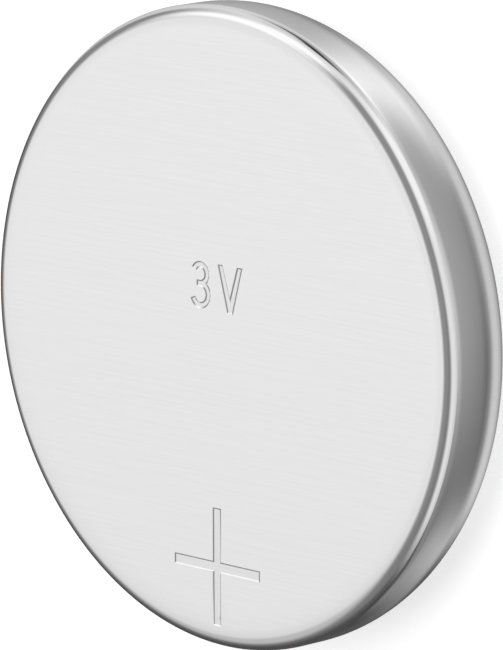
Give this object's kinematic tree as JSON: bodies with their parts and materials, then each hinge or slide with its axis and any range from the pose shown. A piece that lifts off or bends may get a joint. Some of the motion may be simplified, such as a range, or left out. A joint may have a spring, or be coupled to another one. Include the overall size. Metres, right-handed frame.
{
  "type": "lithium coin cell",
  "caption": "Flat round battery: a steel cup with a flat positive face, its edge crimped over a plastic ring that seals a stepped negative cap.",
  "frame": {"origin": "centre of the negative contact face, on which the cell rests", "axes": "+Z along the cell's axis from the negative contact to the positive face, +Y from the plus sign towards the face's centre"},
  "size_m": [0.016, 0.016, 0.0032],
  "materials": {
    "can_steel": "nickel-plated stainless, finely brushed face and polished side",
    "seal_plastic": "natural polypropylene, satin",
    "cap_steel": "stainless, satin",
    "pellet_powder": "pressed black powder, matt",
    "ring_steel": "thin stainless, plain",
    "separator_felt": "nonwoven polypropylene",
    "lithium_metal": "soft metal foil, dull"
  },
  "bodies": {
    "root": {"positive_can": "can_steel", "gasket": "seal_plastic", "negative_cap": "cap_steel", "cathode_pellet": "pellet_powder", "cathode_ring": "ring_steel", "separator": "separator_felt", "lithium_disc": "lithium_metal"}
  },
  "joints": []
}
